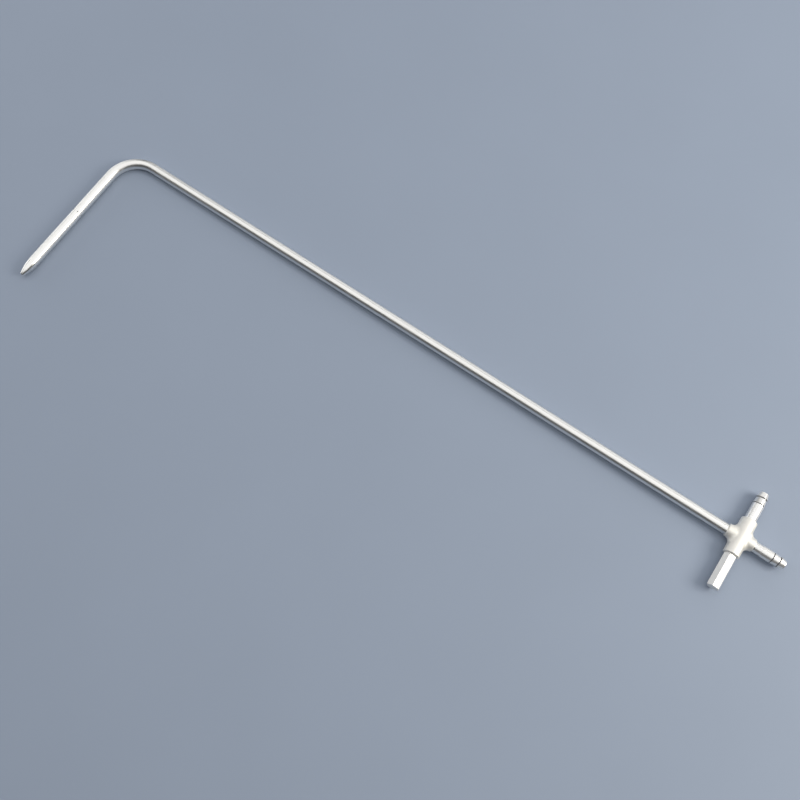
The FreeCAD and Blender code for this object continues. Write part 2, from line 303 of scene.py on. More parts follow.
# ---------------------------------------------------------------------------------------------
# Finishes
# ---------------------------------------------------------------------------------------------


class NodeChain:
    """A short way to add and link shader nodes in one tree."""

    def __init__(self, tree: bpy.types.NodeTree) -> None:
        """Keeps the tree.

        Args:
            tree: The tree that the nodes go into.
        """
        self.tree = tree

    def add(self, kind: str, **values: object) -> bpy.types.Node:
        """Adds a node and sets its properties.

        Args:
            kind: The node's type name.
            values: Properties of the node by name.

        Returns:
            The new node.
        """
        node = self.tree.nodes.new(kind)
        for key, value in values.items():
            setattr(node, key, value)
        return node

    def link(self, source: bpy.types.NodeSocket, target: bpy.types.NodeSocket) -> None:
        """Links two sockets.

        Args:
            source: The socket that gives the value.
            target: The socket that takes it.
        """
        self.tree.links.new(source, target)

    def put(self, value: object, target: bpy.types.NodeSocket) -> None:
        """Links a socket to another, or writes a number on it.

        Args:
            value: A socket or a number.
            target: The socket that takes it.
        """
        if isinstance(value, bpy.types.NodeSocket):
            self.link(value, target)
        else:
            target.default_value = value

    def maths(self, operation: str, first: object,
              second: object = 0.0) -> bpy.types.NodeSocket:
        """Adds a Math node.

        Args:
            operation: The operation's name.
            first: A socket or a number.
            second: A socket or a number.

        Returns:
            The result's socket.
        """
        node = self.add("ShaderNodeMath", operation=operation)
        for socket, value in zip(node.inputs, (first, second)):
            self.put(value, socket)
        return node.outputs[0]

    def weighted_sum(self, *parts: tuple[bpy.types.NodeSocket, float]) -> bpy.types.NodeSocket:
        """Adds up values, each times its weight.

        Args:
            parts: The values with their weights.

        Returns:
            The sum's socket.
        """
        terms = [self.maths("MULTIPLY", value, weight) for value, weight in parts]
        total = terms[0]
        for term in terms[1:]:
            total = self.maths("ADD", total, term)
        return total

    def mapped(self, source: bpy.types.NodeSocket, scale: Triple,
               turn: Triple = (0.0, 0.0, 0.0)) -> bpy.types.NodeSocket:
        """Scales and turns coordinates.

        Args:
            source: The coordinates.
            scale: The scale along each axis.
            turn: The turn about each axis, in radians.

        Returns:
            The mapped coordinates.
        """
        node = self.add("ShaderNodeMapping")
        node.inputs["Scale"].default_value = scale
        node.inputs["Rotation"].default_value = turn
        self.link(source, node.inputs["Vector"])
        return node.outputs["Vector"]

    def noise(self, source: bpy.types.NodeSocket, scale: object, detail: float = 3.0,
              roughness: float = 0.5) -> bpy.types.NodeSocket:
        """Adds a noise texture.

        Args:
            source: The coordinates.
            scale: The noise's scale, as a socket or a number.
            detail: Its octaves.
            roughness: The weight of its fine octaves.

        Returns:
            The factor's socket.
        """
        node = self.add("ShaderNodeTexNoise")
        self.put(scale, node.inputs["Scale"])
        node.inputs["Detail"].default_value = detail
        node.inputs["Roughness"].default_value = roughness
        self.link(source, node.inputs["Vector"])
        return node.outputs["Fac"]

    def spread(self, source: bpy.types.NodeSocket, low: float, high: float, start: float = 0.0,
               end: float = 1.0) -> bpy.types.NodeSocket:
        """Maps a range to another and clamps it.

        Args:
            source: The value.
            low: The value that gives start.
            high: The value that gives end.
            start: The result at low.
            end: The result at high.

        Returns:
            The result's socket.
        """
        node = self.add("ShaderNodeMapRange")
        for name, value in zip(("From Min", "From Max", "To Min", "To Max"),
                               (low, high, start, end)):
            node.inputs[name].default_value = value
        self.link(source, node.inputs["Value"])
        return node.outputs["Result"]


# The ranges of a noise that count as a scratch, a smudge, a tool line and a cloud of tint.
SCRATCH_RANGE = (0.66, 0.72)
SMUDGE_RANGE = (0.4, 0.7)
LINE_RANGE = (0.35, 0.65)
TINT_RANGE = (0.35, 0.75)
# The directions of the scratches about Z, in radians, and how far noise is drawn out into lines.
SCRATCH_TURNS = (0.35, -0.8, 1.9)
SCRATCH_STRETCH = (1.0, 0.04, 1.0)
LINE_STRETCH = (1.0, 0.02, 0.02)
# Scales of the patches where tool lines fade, of the tint's clouds and of the floor's.
PATCH_SCALE = 150.0
TINT_SCALE = 35.0
FLOOR_SCALE = 9.0


def new_group(name: str, numbers: dict[str, float],
              outputs: Sequence[str]) -> tuple[NodeChain, bpy.types.Node, bpy.types.Node]:
    """Starts a shader node group with a vector input and named numbers.

    Args:
        name: The group's name.
        numbers: Its number inputs and their defaults.
        outputs: Its number outputs.

    Returns:
        The chain that adds nodes to it, its input node and its output node.
    """
    tree = bpy.data.node_groups.new(name, "ShaderNodeTree")
    tree.interface.new_socket("Vector", in_out="INPUT", socket_type="NodeSocketVector")
    for label, value in numbers.items():
        socket = tree.interface.new_socket(label, in_out="INPUT", socket_type="NodeSocketFloat")
        socket.default_value = value
    for label in outputs:
        tree.interface.new_socket(label, in_out="OUTPUT", socket_type="NodeSocketFloat")
    chain = NodeChain(tree)
    return chain, chain.add("NodeGroupInput"), chain.add("NodeGroupOutput")


def handling_marks() -> bpy.types.NodeTree:
    """Builds the group for the faint scratches and smudges that handling leaves on metal.

    Returns:
        A group that puts out a scratch mask, a smudge mask and a height.
    """
    chain, source, target = new_group(
        "handling_marks", {"Scratch Scale": 900.0, "Smudge Scale": 60.0},
        ("Scratches", "Smudges", "Height"))
    masks = []
    for index, turn in enumerate(SCRATCH_TURNS):
        drawn_out = chain.mapped(source.outputs["Vector"], SCRATCH_STRETCH, (0.0, 0.0, turn))
        fine = chain.noise(drawn_out, source.outputs["Scratch Scale"], 2.0 + index)
        masks.append(chain.spread(fine, *SCRATCH_RANGE))
    scratches = chain.maths("MAXIMUM", chain.maths("MAXIMUM", masks[0], masks[1]), masks[2])
    smudge = chain.noise(source.outputs["Vector"], source.outputs["Smudge Scale"], 4.0)
    chain.link(scratches, target.inputs["Scratches"])
    chain.link(chain.spread(smudge, *SMUDGE_RANGE), target.inputs["Smudges"])
    chain.link(chain.maths("MULTIPLY", scratches, -1.0), target.inputs["Height"])
    return chain.tree


def tool_lines() -> bpy.types.NodeTree:
    """Builds the group for the fine parallel lines that drawing, turning or milling leaves.

    The lines run square to the vector's X axis.

    Returns:
        A group that puts out a line mask and a height.
    """
    chain, source, target = new_group(
        "tool_lines", {"Line Scale": 4000.0, "Unevenness": 0.5}, ("Lines", "Height"))
    drawn_out = chain.mapped(source.outputs["Vector"], LINE_STRETCH)
    lines = chain.noise(drawn_out, source.outputs["Line Scale"], 4.0)
    patches = chain.noise(source.outputs["Vector"], PATCH_SCALE)
    uneven = chain.maths("MULTIPLY", patches, source.outputs["Unevenness"])
    height = chain.maths("MULTIPLY", lines, chain.maths("SUBTRACT", 1.0, uneven))
    chain.link(chain.spread(lines, *LINE_RANGE), target.inputs["Lines"])
    chain.link(height, target.inputs["Height"])
    return chain.tree


@dataclass(frozen=True)
class MetalFinish:
    """A bare metal surface with tool lines, handling marks and, where it was cast, a grain.

    Depths are in millimetres, and scales are waves to the metre.
    """

    name: str
    colour: Triple
    shade: Triple
    roughness: float
    roughness_spread: float
    line_scale: float
    line_depth: float
    line_turn: Triple = (0.0, 0.0, 0.0)
    scratch_depth: float = 0.02
    grain_scale: float = 0.0
    grain_depth: float = 0.0
    grain_detail: float = 6.0
    grain_bite: float = 0.65
    metallic: float = 1.0

    def build(self, groups: dict[str, bpy.types.NodeTree]) -> bpy.types.Material:
        """Builds the material.

        Args:
            groups: The shared node groups by name.

        Returns:
            The material.
        """
        material = bpy.data.materials.new(self.name)
        material.use_nodes = True
        chain = NodeChain(material.node_tree)
        metal = material.node_tree.nodes["Principled BSDF"]
        metal.inputs["Metallic"].default_value = self.metallic
        place = chain.add("ShaderNodeTexCoord").outputs["Object"]

        marks = chain.add("ShaderNodeGroup", node_tree=groups["handling_marks"])
        chain.link(place, marks.inputs["Vector"])
        lines = chain.add("ShaderNodeGroup", node_tree=groups["tool_lines"])
        chain.link(chain.mapped(place, (1.0, 1.0, 1.0), self.line_turn), lines.inputs["Vector"])
        lines.inputs["Line Scale"].default_value = self.line_scale

        clouds = chain.noise(place, TINT_SCALE, 4.0)
        tint = chain.add("ShaderNodeMix", data_type="RGBA")
        tint.inputs["A"].default_value = (*self.colour, 1.0)
        tint.inputs["B"].default_value = (*self.shade, 1.0)
        chain.link(chain.spread(clouds, *TINT_RANGE), tint.inputs["Factor"])
        chain.link(tint.outputs["Result"], metal.inputs["Base Color"])

        uneven = self.roughness_spread
        smudged = chain.spread(marks.outputs["Smudges"], 0.0, 1.0, self.roughness,
                               self.roughness + uneven)
        rough = chain.weighted_sum((smudged, 1.0), (lines.outputs["Lines"], uneven / 2),
                                   (marks.outputs["Scratches"], uneven))
        chain.link(rough, metal.inputs["Roughness"])

        heights = [(lines.outputs["Height"], self.line_depth),
                   (marks.outputs["Height"], self.scratch_depth)]
        if self.grain_depth > 0:
            grain = chain.noise(place, self.grain_scale, self.grain_detail, self.grain_bite)
            heights.append((grain, self.grain_depth))
        bump = chain.add("ShaderNodeBump")
        bump.inputs["Distance"].default_value = MM
        chain.link(chain.weighted_sum(*heights), bump.inputs["Height"])
        chain.link(bump.outputs["Normal"], metal.inputs["Normal"])
        return material


POLISHED = MetalFinish(
    name="polished_steel_tube", colour=(0.93, 0.925, 0.9), shade=(0.93, 0.925, 0.9),
    roughness=0.3, roughness_spread=0.06, line_scale=1500.0, line_depth=0.004)
NOSE = MetalFinish(
    name="turned_nose_steel", colour=(0.93, 0.925, 0.9), shade=(0.9, 0.9, 0.88),
    roughness=0.2, roughness_spread=0.05, line_scale=6000.0, line_turn=(0.0, 0.0, QUARTER),
    line_depth=0.006)
TURNED_LENGTHWISE = MetalFinish(
    name="turned_steel_total", colour=(0.95, 0.945, 0.93), shade=(0.9, 0.895, 0.875),
    roughness=0.26, roughness_spread=0.08, line_scale=6000.0, line_depth=0.01, metallic=0.8)
TURNED_SIDEWAYS = replace(
    TURNED_LENGTHWISE, name="turned_steel_static", line_turn=(0.0, 0.0, QUARTER))
# Painted shade: a near-black colour for the grooves behind the barbs, in place of the shade that
# falls in them.
GROOVE_SHADE = MetalFinish(
    name="groove_painted_shade", colour=(0.2, 0.2, 0.205), shade=(0.12, 0.12, 0.125),
    roughness=0.5, roughness_spread=0.1, line_scale=3000.0, line_depth=0.02, metallic=0.6)
MILLED = MetalFinish(
    name="ground_hexagon_steel", colour=(0.95, 0.945, 0.925), shade=(0.88, 0.875, 0.855),
    roughness=0.46, roughness_spread=0.1, line_scale=2600.0, line_turn=(0.0, 0.0, 0.6),
    line_depth=0.03, metallic=0.7)
CAST = MetalFinish(
    name="blasted_cast_steel", colour=(0.93, 0.915, 0.87), shade=(0.86, 0.84, 0.79),
    roughness=0.5, roughness_spread=0.1, line_scale=1500.0, line_turn=(0.0, 0.0, 0.9),
    line_depth=0.01, grain_scale=2600.0, grain_depth=0.05, metallic=0.7)
BRAZE = MetalFinish(
    name="silver_braze", colour=(0.9, 0.885, 0.83), shade=(0.8, 0.78, 0.72),
    roughness=0.26, roughness_spread=0.1, line_scale=900.0, line_turn=(0.0, 0.0, 0.4),
    line_depth=0.01, grain_scale=900.0, grain_depth=0.05)
DRAWN = MetalFinish(
    name="drawn_inner_tube", colour=(0.68, 0.68, 0.67), shade=(0.6, 0.6, 0.59),
    roughness=0.4, roughness_spread=0.1, line_scale=1500.0, line_depth=0.02)


def finish_groups() -> dict[str, bpy.types.NodeTree]:
    """Builds the node groups that the finishes share.

    Returns:
        The groups by name.
    """
    return {"handling_marks": handling_marks(), "tool_lines": tool_lines()}


# ---------------------------------------------------------------------------------------------
# The bent tube
# ---------------------------------------------------------------------------------------------


@dataclass
class SensingTube:
    """The polished outer tube: head, bend and stem, with the ring of static holes."""

    layout: Layout
    name: str = "outer_tube_polished"
    bend_radius: float = 24 * MM
    wall: float = 1 * MM
    overrun: float = 2 * MM
    bend_steps: int = 64
    run_step: float = 6 * MM
    around: int = 96
    hole_radius: float = 0.5 * MM
    hole_count: int = 6
    hole_setback: float = 64 * MM
    hole_segments: int = 24

    def path(self) -> list[Vector]:
        """Works out the centreline, with a short overrun past each end.

        Returns:
            The points from the head's end to the stem's end.
        """
        corner = self.layout.corner
        bend = self.bend_radius
        start = self.layout.shoulder_y - self.overrun
        head_top = corner.y - bend
        stem_start = corner.x + bend
        end = self.layout.stem_end_x + self.overrun
        points = []
        head, stem = head_top - start, end - stem_start
        runs = math.ceil(head / self.run_step)
        for step in range(runs):
            points.append(Vector((corner.x, start + head * step / runs, corner.z)))
        for step in range(self.bend_steps + 1):
            angle = math.pi - QUARTER * step / self.bend_steps
            points.append(Vector((stem_start + bend * math.cos(angle),
                                  head_top + bend * math.sin(angle), corner.z)))
        runs = math.ceil(stem / self.run_step)
        for step in range(1, runs + 1):
            points.append(Vector((stem_start + stem * step / runs, corner.y, corner.z)))
        return points

    def centre_near(self, place: Vector) -> Vector:
        """Finds the centreline's point in line with a place.

        Args:
            place: A point on the tube.

        Returns:
            The point of the centreline whose section holds it.
        """
        corner = self.layout.corner
        bend = self.bend_radius
        if place.x > corner.x + bend:
            return Vector((place.x, corner.y, corner.z))
        if place.y < corner.y - bend:
            return Vector((corner.x, place.y, corner.z))
        hub = Vector((corner.x + bend, corner.y - bend, corner.z))
        flat = Vector((place.x - hub.x, place.y - hub.y, 0.0))
        return hub + flat.normalized() * bend

    def node_tree(self, material: bpy.types.Material) -> bpy.types.NodeTree:
        """Builds the tree that turns a path into a tube with a ring of holes.

        Args:
            material: The tube's material.

        Returns:
            The geometry node tree.
        """
        tree = bpy.data.node_groups.new("holed_tube", "GeometryNodeTree")
        face = tree.interface
        face.new_socket("Geometry", in_out="OUTPUT", socket_type="NodeSocketGeometry")
        face.new_socket("Path", in_out="INPUT", socket_type="NodeSocketGeometry")
        for label in ("Tube Radius", "Wall", "Overrun", "Hole Radius"):
            face.new_socket(label, in_out="INPUT", socket_type="NodeSocketFloat")
        for label in ("Around", "Hole Count", "Hole Segments"):
            face.new_socket(label, in_out="INPUT", socket_type="NodeSocketInt")
        face.new_socket("Hole Place", in_out="INPUT", socket_type="NodeSocketVector")
        chain = NodeChain(tree)
        given = chain.add("NodeGroupInput").outputs
        output = chain.add("NodeGroupOutput")

        length = chain.add("GeometryNodeCurveLength")
        chain.link(given["Path"], length.inputs["Curve"])
        trim = chain.add("GeometryNodeTrimCurve", mode="LENGTH")
        chain.link(given["Path"], trim.inputs["Curve"])
        chain.link(given["Overrun"], trim.inputs[TRIM_START])
        chain.link(chain.maths("SUBTRACT", length.outputs[0], given["Overrun"]),
                   trim.inputs[TRIM_END])
        bore_radius = chain.maths("SUBTRACT", given["Tube Radius"], given["Wall"])
        rod = self.swept(chain, given, trim.outputs[0], given["Tube Radius"])
        bore = self.swept(chain, given, given["Path"], bore_radius)

        cut = chain.add("GeometryNodeMeshBoolean", operation="DIFFERENCE")
        chain.link(rod, cut.inputs["Mesh 1"])
        chain.link(self.drills(chain, given), cut.inputs["Mesh 2"])
        chain.link(bore, cut.inputs["Mesh 2"])
        real = chain.add("GeometryNodeRealizeInstances")
        chain.link(cut.outputs["Mesh"], real.inputs[0])
        dress = chain.add("GeometryNodeSetMaterial")
        dress.inputs["Material"].default_value = material
        chain.link(real.outputs[0], dress.inputs["Geometry"])
        chain.link(dress.outputs[0], output.inputs["Geometry"])
        return tree

    @staticmethod
    def swept(chain: NodeChain, given: bpy.types.NodeOutputs, path: bpy.types.NodeSocket,
              radius: bpy.types.NodeSocket) -> bpy.types.NodeSocket:
        """Adds the nodes that sweep a circle along a path.

        Args:
            chain: The chain that adds the nodes.
            given: The tree's named inputs.
            path: The path's curve.
            radius: The circle's radius.

        Returns:
            The closed rod's mesh.
        """
        circle = chain.add("GeometryNodeCurvePrimitiveCircle")
        chain.link(given["Around"], circle.inputs["Resolution"])
        chain.link(radius, circle.inputs["Radius"])
        sweep = chain.add("GeometryNodeCurveToMesh")
        sweep.inputs["Fill Caps"].default_value = True
        chain.link(path, sweep.inputs["Curve"])
        chain.link(circle.outputs["Curve"], sweep.inputs["Profile Curve"])
        return sweep.outputs["Mesh"]

    @staticmethod
    def drills(chain: NodeChain, given: bpy.types.NodeOutputs) -> bpy.types.NodeSocket:
        """Adds the nodes that set the drills for the holes in a ring round the head.

        Args:
            chain: The chain that adds the nodes.
            given: The tree's named inputs.

        Returns:
            The drills' mesh.
        """
        drill = chain.add("GeometryNodeMeshCylinder")
        chain.link(given["Hole Segments"], drill.inputs["Vertices"])
        chain.link(given["Hole Radius"], drill.inputs["Radius"])
        chain.link(chain.maths("MULTIPLY", given["Tube Radius"], 2.0), drill.inputs["Depth"])
        lift = chain.add("ShaderNodeCombineXYZ")
        chain.link(given["Tube Radius"], lift.inputs["Z"])
        raised = chain.add("GeometryNodeTransform")
        chain.link(drill.outputs["Mesh"], raised.inputs["Geometry"])
        chain.link(lift.outputs[0], raised.inputs["Translation"])
        points = chain.add("GeometryNodePoints")
        chain.link(given["Hole Count"], points.inputs["Count"])
        chain.link(given["Hole Place"], points.inputs["Position"])
        order = chain.maths("ADD", chain.add("GeometryNodeInputIndex").outputs[0], 0.5)
        share = chain.maths("DIVIDE", order, given["Hole Count"])
        turn = chain.add("ShaderNodeCombineXYZ")
        chain.link(chain.maths("MULTIPLY", share, math.tau), turn.inputs["Y"])
        ring = chain.add("GeometryNodeInstanceOnPoints")
        chain.link(points.outputs[0], ring.inputs["Points"])
        chain.link(raised.outputs[0], ring.inputs["Instance"])
        chain.link(turn.outputs[0], ring.inputs["Rotation"])
        real = chain.add("GeometryNodeRealizeInstances")
        chain.link(ring.outputs[0], real.inputs[0])
        return real.outputs[0]

    def build(self, material: bpy.types.Material) -> bpy.types.Object:
        """Builds the tube as a plain mesh.

        Args:
            material: The tube's material.

        Returns:
            The tube.
        """
        curve = bpy.data.curves.new("tube_path", "CURVE")
        curve.dimensions = "3D"
        spline = curve.splines.new("POLY")
        places = self.path()
        spline.points.add(len(places) - 1)
        for point, place in zip(spline.points, places):
            point.co = (*place, 1.0)
        carrier = add_object("tube_carrier", curve)
        tree = self.node_tree(material)
        modifier = carrier.modifiers.new("holed_tube", "NODES")
        modifier.node_group = tree
        corner = self.layout.corner
        values = {
            "Tube Radius": self.layout.tube_radius,
            "Wall": self.wall,
            "Overrun": self.overrun,
            "Hole Radius": self.hole_radius,
            "Around": self.around,
            "Hole Count": self.hole_count,
            "Hole Segments": self.hole_segments,
            "Hole Place": (corner.x, self.layout.tip_y + self.hole_setback, corner.z),
        }
        for item in tree.interface.items_tree:
            if item.in_out == "INPUT" and item.name in values:
                modifier[item.identifier] = values[item.name]
        bpy.context.view_layer.update()
        graph = bpy.context.evaluated_depsgraph_get()
        mesh = bpy.data.meshes.new_from_object(carrier.evaluated_get(graph), depsgraph=graph)
        mesh.name = self.name
        bpy.data.objects.remove(carrier)
        self.set_normals(mesh)
        return add_object(self.name, mesh)

    def set_normals(self, mesh: bpy.types.Mesh) -> None:
        """Gives the round walls the exact normals of a tube, and the cuts their own.

        Args:
            mesh: The tube's mesh.
        """
        mesh.shade_smooth()
        normals = [Vector((0.0, 0.0, 1.0))] * len(mesh.loops)
        for face in mesh.polygons:
            middle = (face.center - self.centre_near(face.center)).normalized()
            facing = face.normal.dot(middle)
            for loop in face.loop_indices:
                place = mesh.vertices[mesh.loops[loop].vertex_index].co
                radial = (place - self.centre_near(place)).normalized()
                if facing > WALL_FACING:
                    normals[loop] = radial
                elif facing < -WALL_FACING:
                    normals[loop] = -radial
                else:
                    normals[loop] = face.normal.copy()
        mesh.normals_split_custom_set(normals)


# ---------------------------------------------------------------------------------------------
# The turned pieces
# ---------------------------------------------------------------------------------------------


@dataclass
class NoseCone:
    """The turned nose: an ogive with a rounded tip and the total hole."""

    layout: Layout
    tip_radius: float = 1.45 * MM
    tip_rounding: float = 0.5 * MM
    hole_radius: float = 0.8 * MM
    hole_edge: float = 0.12 * MM
    spigot_radius: float = 2.97 * MM
    spigot_length: float = 8 * MM
    spigot_edge: float = 0.2 * MM
    seat_radius: float = 2.03 * MM
    seat_end: float = 3 * MM
    ogive_steps: int = 28

    def build(self) -> bpy.types.Object:
        """Builds the nose, with along measured from the shoulder towards the tip.

        Returns:
            The nose.
        """
        length = self.layout.shoulder_y - self.layout.tip_y
        drop = self.layout.tube_radius - self.tip_radius
        ogive = (length**2 + drop**2) / (2 * drop)
        sweep = math.asin(length / ogive)
        corners = [
            (-self.spigot_length, self.seat_radius, 0.0),
            (-self.spigot_length, self.spigot_radius, self.spigot_edge),
            (0.0, self.spigot_radius, 0.0),
        ]
        for step in range(self.ogive_steps):
            angle = sweep * step / self.ogive_steps
            corners.append((ogive * math.sin(angle),
                            self.layout.tube_radius - ogive * (1 - math.cos(angle)), 0.0))
        corners += [
            (length, self.tip_radius, self.tip_rounding),
            (length, self.hole_radius, self.hole_edge),
            (-self.seat_end, self.hole_radius, 0.0),
            (-self.seat_end, self.seat_radius, 0.0),
        ]
        origin = Vector((self.layout.corner.x, self.layout.shoulder_y, self.layout.corner.z))
        return lathe("nose_cone_polished", rounded(corners), origin, Axis.TO_NOSE)


@dataclass
class HoseNipple:
    """A turned hose nipple with two barbs, given from the middle of the cross outwards.

    The inner corners lead out to the grip, and the bore's corners lead back from the tip.
    """

    name: str
    layout: Layout
    axis: Axis
    inner: list[tuple[float, float, float]]
    bore: list[tuple[float, float, float]]
    grip_end: float
    hose_radius: float = 4.2 * MM
    root_radius: float = 3.65 * MM
    tip_radius: float = 3 * MM
    bore_radius: float = 1.5 * MM
    barb_length: float = 5 * MM
    barb_count: int = 2
    relief: float = 0.7 * MM
    edge: float = 0.06 * MM
    tip_edge: float = 0.4 * MM

    def build(self, groove_shade: bpy.types.Material,
              metal: bpy.types.Material) -> bpy.types.Object:
        """Builds the nipple, with painted shade, a near-black colour, in the grooves behind its
        barbs.

        Args:
            groove_shade: The near-black material that paints shade into the grooves.
            metal: The rest's material.

        Returns:
            The nipple.
        """
        corners = list(self.inner)
        corners.append((self.grip_end, self.hose_radius, self.edge))
        corners.append((self.grip_end, self.root_radius, self.edge))
        for number in range(self.barb_count):
            start = self.grip_end + number * self.barb_length
            corners.append((start + self.relief, self.root_radius, self.edge))
            corners.append((start + self.relief, self.hose_radius, self.edge))
            if number + 1 < self.barb_count:
                corners.append((start + self.barb_length, self.root_radius, self.edge))
            else:
                corners.append((start + self.barb_length, self.tip_radius, self.tip_edge))
        reach = self.grip_end + self.barb_count * self.barb_length
        corners.append((reach, self.bore_radius, self.edge * 2))
        corners.extend(self.bore)
        nipple = lathe(self.name, rounded(corners), self.layout.cross, self.axis)
        for material in (metal, groove_shade):
            nipple.data.materials.append(material)
        # Faces in the relief behind each barb take the near-black material, which paints the shade
        # that falls in the groove.
        for face in nipple.data.polygons:
            along = (face.center - self.layout.cross).to_2d().length
            into, past = divmod(along - self.grip_end, self.barb_length)
            if 0 <= into < self.barb_count and past < self.relief:
                face.material_index = 1
        return nipple


def static_nipple(layout: Layout) -> HoseNipple:
    """The side nipple, whose shoulder lies on the end of the cross body's bar.

    Args:
        layout: The shared places.

    Returns:
        The nipple's description.
    """
    port, grip = mount("static_port")
    bar_end = port.y - layout.cross.y - grip / 2
    spigot_radius = 3.5 * MM
    spigot_end = bar_end - 5.5 * MM
    return HoseNipple(
        name="static_nipple_turned", layout=layout, axis=Axis.TO_STATIC_SIDE,
        inner=[(spigot_end, spigot_radius, 0.2 * MM), (bar_end, spigot_radius, 0.0),
               (bar_end, HoseNipple.hose_radius, 0.1 * MM)],
        bore=[(spigot_end, HoseNipple.bore_radius, 0.0)], grip_end=bar_end + grip)


def total_nipple(layout: Layout) -> HoseNipple:
    """The nipple in line with the stem, on a neck that enters the cross body's arm.

    Args:
        layout: The shared places.

    Returns:
        The nipple's description.
    """
    port, grip = mount("total_port")
    shoulder = port.x - layout.cross.x - grip / 2
    neck_end = 5 * MM
    seat_radius, seat_end = 2.03 * MM, neck_end + 3 * MM
    return HoseNipple(
        name="total_nipple_turned", layout=layout, axis=Axis.ALONG_STEM,
        inner=[(neck_end, NECK_RADIUS, 0.1 * MM), (shoulder, NECK_RADIUS, 0.1 * MM),
               (shoulder, HoseNipple.hose_radius, 0.12 * MM)],
        bore=[(seat_end, HoseNipple.bore_radius, 0.0), (seat_end, seat_radius, 0.0),
              (neck_end, seat_radius, 0.0)],
        grip_end=shoulder + grip)


# ---------------------------------------------------------------------------------------------
# The cross body, the handle and the braze
# ---------------------------------------------------------------------------------------------


@dataclass
class CrossBody:
    """The cast cross, in the CAD node's own shape and shaded smooth over its curves."""

    crease: float = 24.0

    def build(self) -> bpy.types.Object:
        """Builds the cross body from the CAD node's shape.

        Returns:
            The cross body.
        """
        return smooth_by_angle(merged_copy("cross_body", "cross_body_cast"), self.crease)


@dataclass
class DirectionHandle:
    """The hexagonal bar, with the small radii that its edges have."""

    layout: Layout
    turn: float = 10.0
    edge: float = 0.16 * MM
    steps: int = 3

    def build(self) -> bpy.types.Object:
        """Builds the handle from the CAD node's shape, turned a little in its socket.

        Returns:
            The handle.
        """
        bar = merged_copy("direction_handle", "direction_handle_ground")
        axis = self.layout.cross
        turn = Matrix.Rotation(math.radians(self.turn), 4, "Y")
        bar.data.transform(Matrix.Translation(axis) @ turn @ Matrix.Translation(-axis))
        bevel = bar.modifiers.new("eased_edges", "BEVEL")
        bevel.width = self.edge
        bevel.segments = self.steps
        bevel.limit_method = "ANGLE"
        bevel.angle_limit = math.radians(HANDLE_CREASE)
        bevel.harden_normals = True
        return smooth_by_angle(bar, HANDLE_CREASE)


@dataclass
class BrazeBead:
    """A ring of braze that fills the corner between a tube and the face that it enters."""

    name: str
    origin: Vector
    axis: Axis
    along: float
    inner: float
    height: float
    length: float
    overlap: float = 0.02 * MM
    steps: int = 6

    def build(self) -> bpy.types.Object:
        """Builds the bead with a hollow, concave face.

        Returns:
            The bead.
        """
        profile: Profile = [(self.along, self.inner - self.overlap)]
        for step in range(self.steps + 1):
            angle = QUARTER * step / self.steps
            profile.append((self.along + self.length * (1 - math.sin(angle)),
                            self.inner + self.height * (1 - math.cos(angle))))
        profile.reverse()
        return lathe(self.name, profile, self.origin, self.axis)


# ---------------------------------------------------------------------------------------------
# The studio
# ---------------------------------------------------------------------------------------------


@dataclass(frozen=True)
class Softbox:
    """One soft rectangular lamp."""

    name: str
    place: Vector
    aim: Vector
    width: float
    height: float
    watts: float
    colour: Triple = (1.0, 1.0, 1.0)

    def build(self) -> None:
        """Adds the lamp to the scene."""
        data = bpy.data.lights.new(self.name, "AREA")
        data.shape = "RECTANGLE"
        data.size = self.width
        data.size_y = self.height
        data.energy = self.watts
        data.color = self.colour
        lamp = add_object(self.name, data)
        lamp.location = self.place
        lamp.rotation_euler = (self.aim - self.place).to_track_quat("-Z", "Y").to_euler()


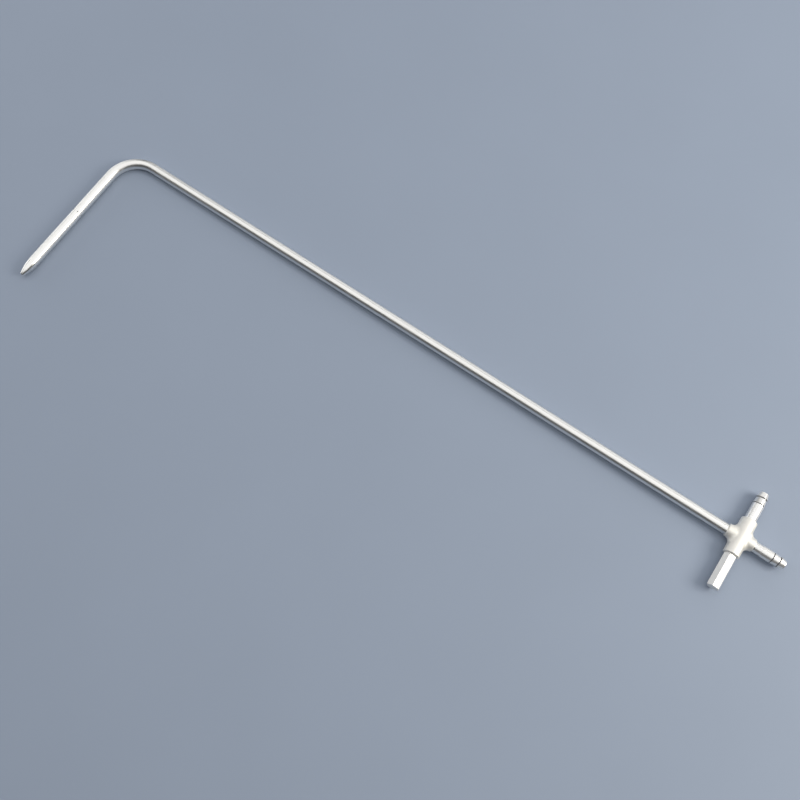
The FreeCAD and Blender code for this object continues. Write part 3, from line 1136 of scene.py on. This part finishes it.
@dataclass
class Studio:
    """The camera, the table top, the lamps and the world."""

    layout: Layout
    camera_place: Vector = field(default_factory=lambda: Vector((0.11425, -0.1693, 0.6108)))
    right: Vector = field(default_factory=lambda: Vector((0.8274, 0.56158, 0.00573)))
    up: Vector = field(default_factory=lambda: Vector((-0.53538, 0.78564, 0.31008)))
    lens: float = 39.6
    floor_size: float = 6.0
    floor_colour: Triple = (0.297, 0.353, 0.452)
    floor_shade: float = 0.94
    floor_roughness: float = 0.55
    world_strength: float = 0.05

    def add_camera(self) -> None:
        """Adds the camera and makes it the scene's."""
        data = bpy.data.cameras.new("camera")
        data.sensor_width = 36.0
        data.lens = self.lens
        data.clip_start = 0.01
        camera = add_object("camera", data)
        right = self.right.normalized()
        back = right.cross(self.up).normalized()
        turned = Matrix((right, back.cross(right), back)).transposed()
        camera.matrix_world = Matrix.Translation(self.camera_place) @ turned.to_4x4()
        bpy.context.scene.camera = camera

    def add_floor(self) -> None:
        """Adds the table top, which touches the cross body and the underside of the head."""
        lean = (self.layout.corner.z - self.layout.tube_radius) / (
            self.layout.cross.x - self.layout.corner.x)
        half = self.floor_size / 2
        mesh = bpy.data.meshes.new("table_top")
        corners = [(-half, -half), (half, -half), (half, half), (-half, half)]
        mesh.from_pydata([(x, y, (self.layout.cross.x - x) * lean) for x, y in corners], [],
                         [(0, 1, 2, 3)])
        floor = add_object("table_top", mesh)
        material = bpy.data.materials.new("table_top_paint")
        material.use_nodes = True
        chain = NodeChain(material.node_tree)
        paint = material.node_tree.nodes["Principled BSDF"]
        paint.inputs["Roughness"].default_value = self.floor_roughness
        place = chain.add("ShaderNodeTexCoord").outputs["Object"]
        shade = (self.floor_shade * part for part in self.floor_colour)
        tint = chain.add("ShaderNodeMix", data_type="RGBA")
        tint.inputs["A"].default_value = (*self.floor_colour, 1.0)
        tint.inputs["B"].default_value = (*shade, 1.0)
        chain.link(chain.noise(place, FLOOR_SCALE), tint.inputs["Factor"])
        chain.link(tint.outputs["Result"], paint.inputs["Base Color"])
        mesh.materials.append(material)

    def add_lights(self) -> None:
        """Adds the lamps and the world."""
        middle = Vector((0.0, 0.0, 0.0))
        boxes = (
            Softbox(name="key", place=Vector((1.19, 0.48, 0.79)), aim=Vector((0.15, 0.0, 0.0)),
                    width=0.75, height=0.6, watts=12.8, colour=(1.0, 0.96, 0.88)),
            Softbox(name="back_wall", place=Vector((0.1, 1.5, 0.62)), aim=middle,
                    width=2.8, height=1.05, watts=8.6),
            Softbox(name="left_wall", place=Vector((-1.4, 0.0, 0.32)), aim=middle,
                    width=1.8, height=0.6, watts=4.2),
            Softbox(name="overhead", place=Vector((-0.3, 0.12, 1.4)),
                    aim=Vector((-0.3, 0.12, 0.0)), width=3.4, height=2.2, watts=22.4),
        )
        for box in boxes:
            box.build()
        world = bpy.data.worlds.new("studio")
        world.use_nodes = True
        sky = world.node_tree.nodes["Background"]
        sky.inputs["Color"].default_value = (1.0, 1.0, 1.0, 1.0)
        sky.inputs["Strength"].default_value = self.world_strength
        bpy.context.scene.world = world
        bpy.context.scene.view_settings.view_transform = "Standard"

    def build(self) -> None:
        """Builds the whole studio."""
        self.add_camera()
        self.add_floor()
        self.add_lights()


# ---------------------------------------------------------------------------------------------
# All together
# ---------------------------------------------------------------------------------------------


def main() -> None:
    """Builds and dresses every piece, then the studio."""
    logging.basicConfig(level=logging.INFO, format="%(name)s: %(message)s")
    layout = Layout.from_frame()
    groups = finish_groups()

    polished = POLISHED.build(groups)
    finish_piece(SensingTube(layout).build(polished), polished, "polished_steel", "outer_tube")
    finish_piece(NoseCone(layout).build(), NOSE.build(groups), "polished_steel", "nose_cone")
    # The grooves' near-black material is painted shade.
    groove_shade = GROOVE_SHADE.build(groups)
    finish_piece(static_nipple(layout).build(groove_shade, TURNED_SIDEWAYS.build(groups)), None,
                 "turned_steel", "static_nipple")
    finish_piece(total_nipple(layout).build(groove_shade, TURNED_LENGTHWISE.build(groups)), None,
                 "turned_steel", "total_nipple")
    finish_piece(CrossBody().build(), CAST.build(groups), "cast_steel", "cross_body")
    finish_piece(DirectionHandle(layout).build(), MILLED.build(groups), "turned_steel",
                 "direction_handle")
    drawn = DRAWN.build(groups)
    for slot in frame["nodes"]["inner_tube"].material_slots:
        slot.material = drawn

    braze = BRAZE.build(groups)
    beads = (
        BrazeBead(name="stem_braze", origin=layout.cross, axis=Axis.ALONG_STEM,
                  along=-ARM_REACH, inner=4 * MM, height=0.45 * MM, length=-0.6 * MM),
        BrazeBead(name="total_neck_braze", origin=layout.cross, axis=Axis.ALONG_STEM,
                  along=ARM_REACH, inner=NECK_RADIUS, height=0.35 * MM, length=0.5 * MM),
    )
    for bead in beads:
        finish_piece(bead.build(), braze, "turned_steel")

    Studio(layout).build()


if __name__ == "__main__":
    main()
